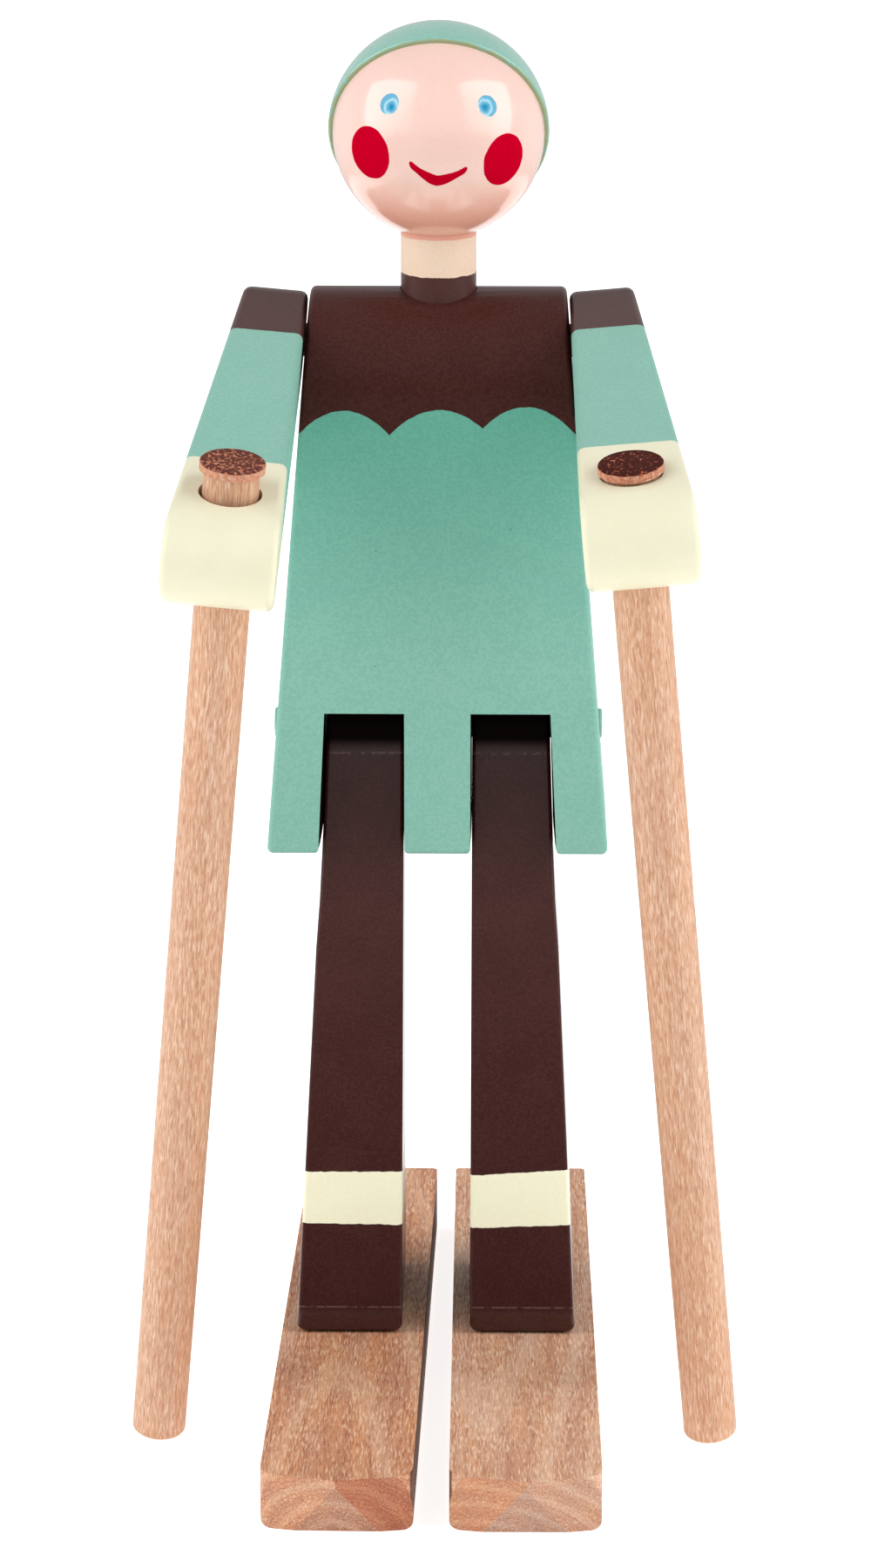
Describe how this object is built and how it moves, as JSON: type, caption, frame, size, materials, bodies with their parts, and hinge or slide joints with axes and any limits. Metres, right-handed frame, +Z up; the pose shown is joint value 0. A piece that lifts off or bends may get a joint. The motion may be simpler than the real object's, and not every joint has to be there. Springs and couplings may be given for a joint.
{
  "type": "wooden skier figure",
  "caption": "Painted wooden figure of a skier with a round capped head, swinging arms and legs, flat skis and loose poles held in its hands.",
  "frame": {"origin": "centre of the whole object's box, on the floor under the skis", "axes": "+Z up, -Y the way the figure faces, +X to the viewer's right as it faces the viewer"},
  "size_m": [0.091, 0.1298, 0.2071],
  "materials": {
    "green_paint": "satin paint on wood",
    "brown_paint": "gloss paint on wood",
    "face_paint": "gloss paint on wood",
    "cream_paint": "satin paint on wood",
    "pole_wood": "bare turned wood",
    "ski_wood": "bare sawn and sanded wood",
    "hidden_wood": "bare dowel"
  },
  "bodies": {
    "torso": {"torso": "green_paint", "hip_pin": "green_paint", "neck_dowel": "cream_paint"},
    "head": {"head": "face_paint"},
    "left_leg": {"left_leg": "brown_paint", "left_ski": "ski_wood", "left_foot_front_dowel": "hidden_wood", "left_foot_rear_dowel": "hidden_wood"},
    "left_arm": {"left_arm": "green_paint", "left_shoulder_peg": "hidden_wood"},
    "left_pole": {"left_pole": "pole_wood"},
    "right_leg": {"right_leg": "brown_paint", "right_ski": "ski_wood", "right_foot_front_dowel": "hidden_wood", "right_foot_rear_dowel": "hidden_wood"},
    "right_arm": {"right_arm": "green_paint", "right_shoulder_peg": "hidden_wood"},
    "right_pole": {"right_pole": "pole_wood"}
  },
  "joints": [
    {"name": "head_turn", "type": "hinge", "parent": "torso", "child": "head", "pos_m": [0, 0.0196, 0.1906], "axis": [0, 0, 1], "continuous": true},
    {"name": "left_hip", "type": "hinge", "parent": "torso", "child": "left_leg", "pos_m": [0, 0.0196, 0.09935], "axis": [1, 0, 0], "range_deg": [-50, 50]},
    {"name": "left_shoulder", "type": "hinge", "parent": "torso", "child": "left_arm", "pos_m": [-0.01976, 0.0196, 0.159], "axis": [0.996, 0.0043, -0.0889], "continuous": true},
    {"name": "left_pole_slide", "type": "slide", "parent": "left_arm", "child": "left_pole", "axis": [0.0886, -0.1633, 0.9826], "range_m": [-0.002, 0.125]},
    {"name": "right_hip", "type": "hinge", "parent": "torso", "child": "right_leg", "pos_m": [0, 0.0196, 0.09935], "axis": [1, 0, 0], "range_deg": [-50, 50]},
    {"name": "right_shoulder", "type": "hinge", "parent": "torso", "child": "right_arm", "pos_m": [0.01976, 0.0196, 0.159], "axis": [0.996, -0.0043, 0.0889], "continuous": true},
    {"name": "right_pole_slide", "type": "slide", "parent": "right_arm", "child": "right_pole", "axis": [-0.0886, -0.1633, 0.9826], "range_m": [0, 0.125]}
  ]
}
